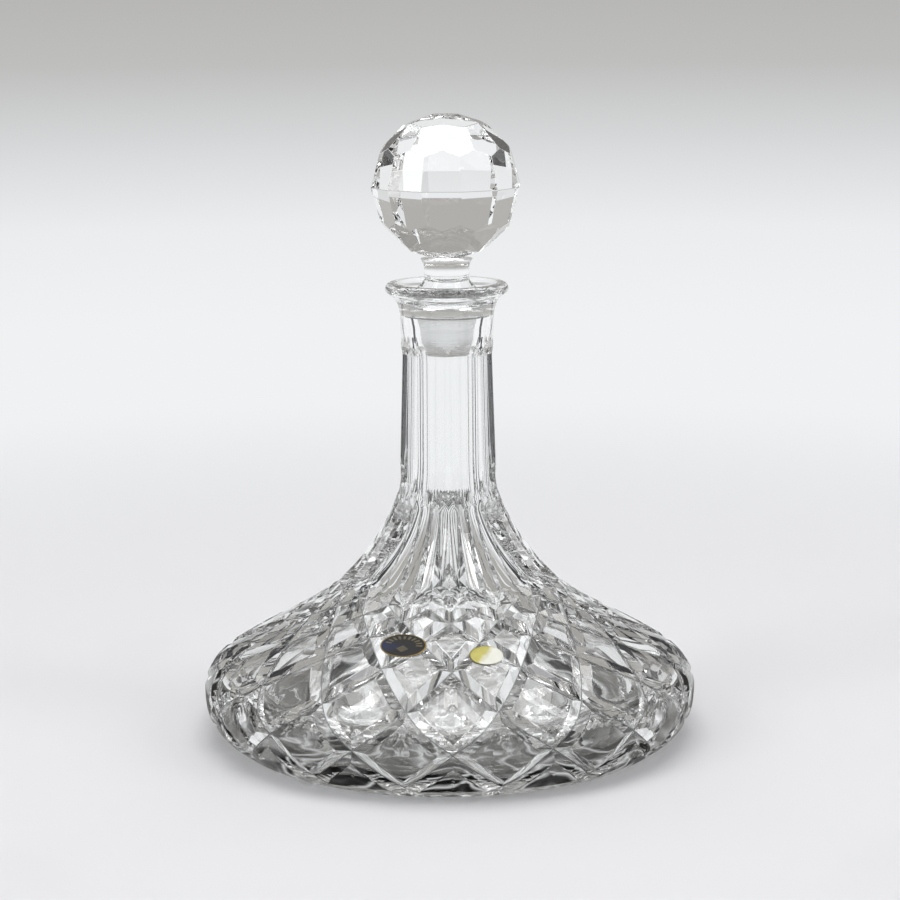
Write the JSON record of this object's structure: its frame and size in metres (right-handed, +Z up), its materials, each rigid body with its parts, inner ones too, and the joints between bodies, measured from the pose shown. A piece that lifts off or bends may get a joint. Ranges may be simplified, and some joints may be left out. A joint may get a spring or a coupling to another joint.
{
  "type": "cut crystal decanter",
  "caption": "Wide low ship's decanter of cut crystal with diamond cuts, a fluted shoulder, a long panelled neck and a faceted ball stopper that lifts out; holds and pours wine.",
  "frame": {"origin": "middle of the base ring, on the surface the decanter stands on", "axes": "+Z up along the neck, -Y towards the front where the foil labels are, +X to the right seen from the front"},
  "size_m": [0.1946, 0.1946, 0.2436],
  "materials": {
    "crystal": "clear polished lead crystal with bright cuts; the plug of the stopper is ground satin",
    "dark_foil": "satin black label with a fine gold edge",
    "gold_foil": "bright gold foil"
  },
  "bodies": {
    "decanter": {"decanter_body": "crystal", "oval_label": "dark_foil", "gold_label": "gold_foil"},
    "stopper": {"stopper": "crystal"}
  },
  "joints": [
    {"name": "stopper_lift", "type": "slide", "parent": "decanter", "child": "stopper", "axis": [0, 0, 1], "range_m": [0, 0.06]}
  ]
}
